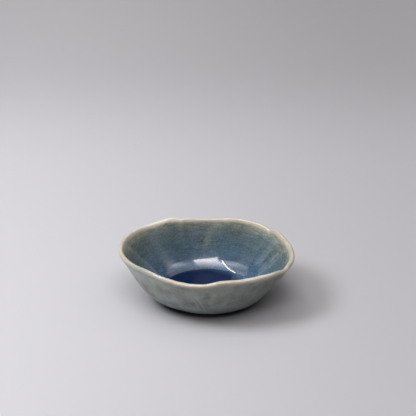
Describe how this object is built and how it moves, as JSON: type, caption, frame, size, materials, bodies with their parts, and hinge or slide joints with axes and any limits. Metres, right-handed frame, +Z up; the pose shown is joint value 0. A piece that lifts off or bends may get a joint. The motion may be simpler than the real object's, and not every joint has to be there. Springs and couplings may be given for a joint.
{
  "type": "oval bowl",
  "caption": "Small oval hand-pressed stoneware bowl with a wavy cream lip, celadon outside and a cobalt glass pool inside, for a side dish or sweets.",
  "frame": {"origin": "on the table, under the middle of the lip's outline as seen from above", "axes": "+Z up, +X along the bowl's long side, +Y along its short side, away from the picture's camera"},
  "size_m": [0.1502, 0.1308, 0.0491],
  "materials": {
    "stoneware": "fired stoneware, hidden under the glaze",
    "bare_foot": "bare fired clay, matt and slightly sandy",
    "inner_glaze": "glossy glaze, grey-green near the lip to blue near the well, finely crackled",
    "celadon_glaze": "satin grey-green celadon with faint runs",
    "cream_glaze": "glossy cream glaze, thin over the lip",
    "cobalt_pool": "deep cobalt glass, very glossy"
  },
  "bodies": {
    "root": {"clay_body": "stoneware", "foot_ring": "bare_foot", "inner_glaze": "inner_glaze", "outer_glaze": "celadon_glaze", "lip_glaze": "cream_glaze", "glaze_pool": "cobalt_pool", "underside_glaze": "celadon_glaze"}
  },
  "joints": []
}
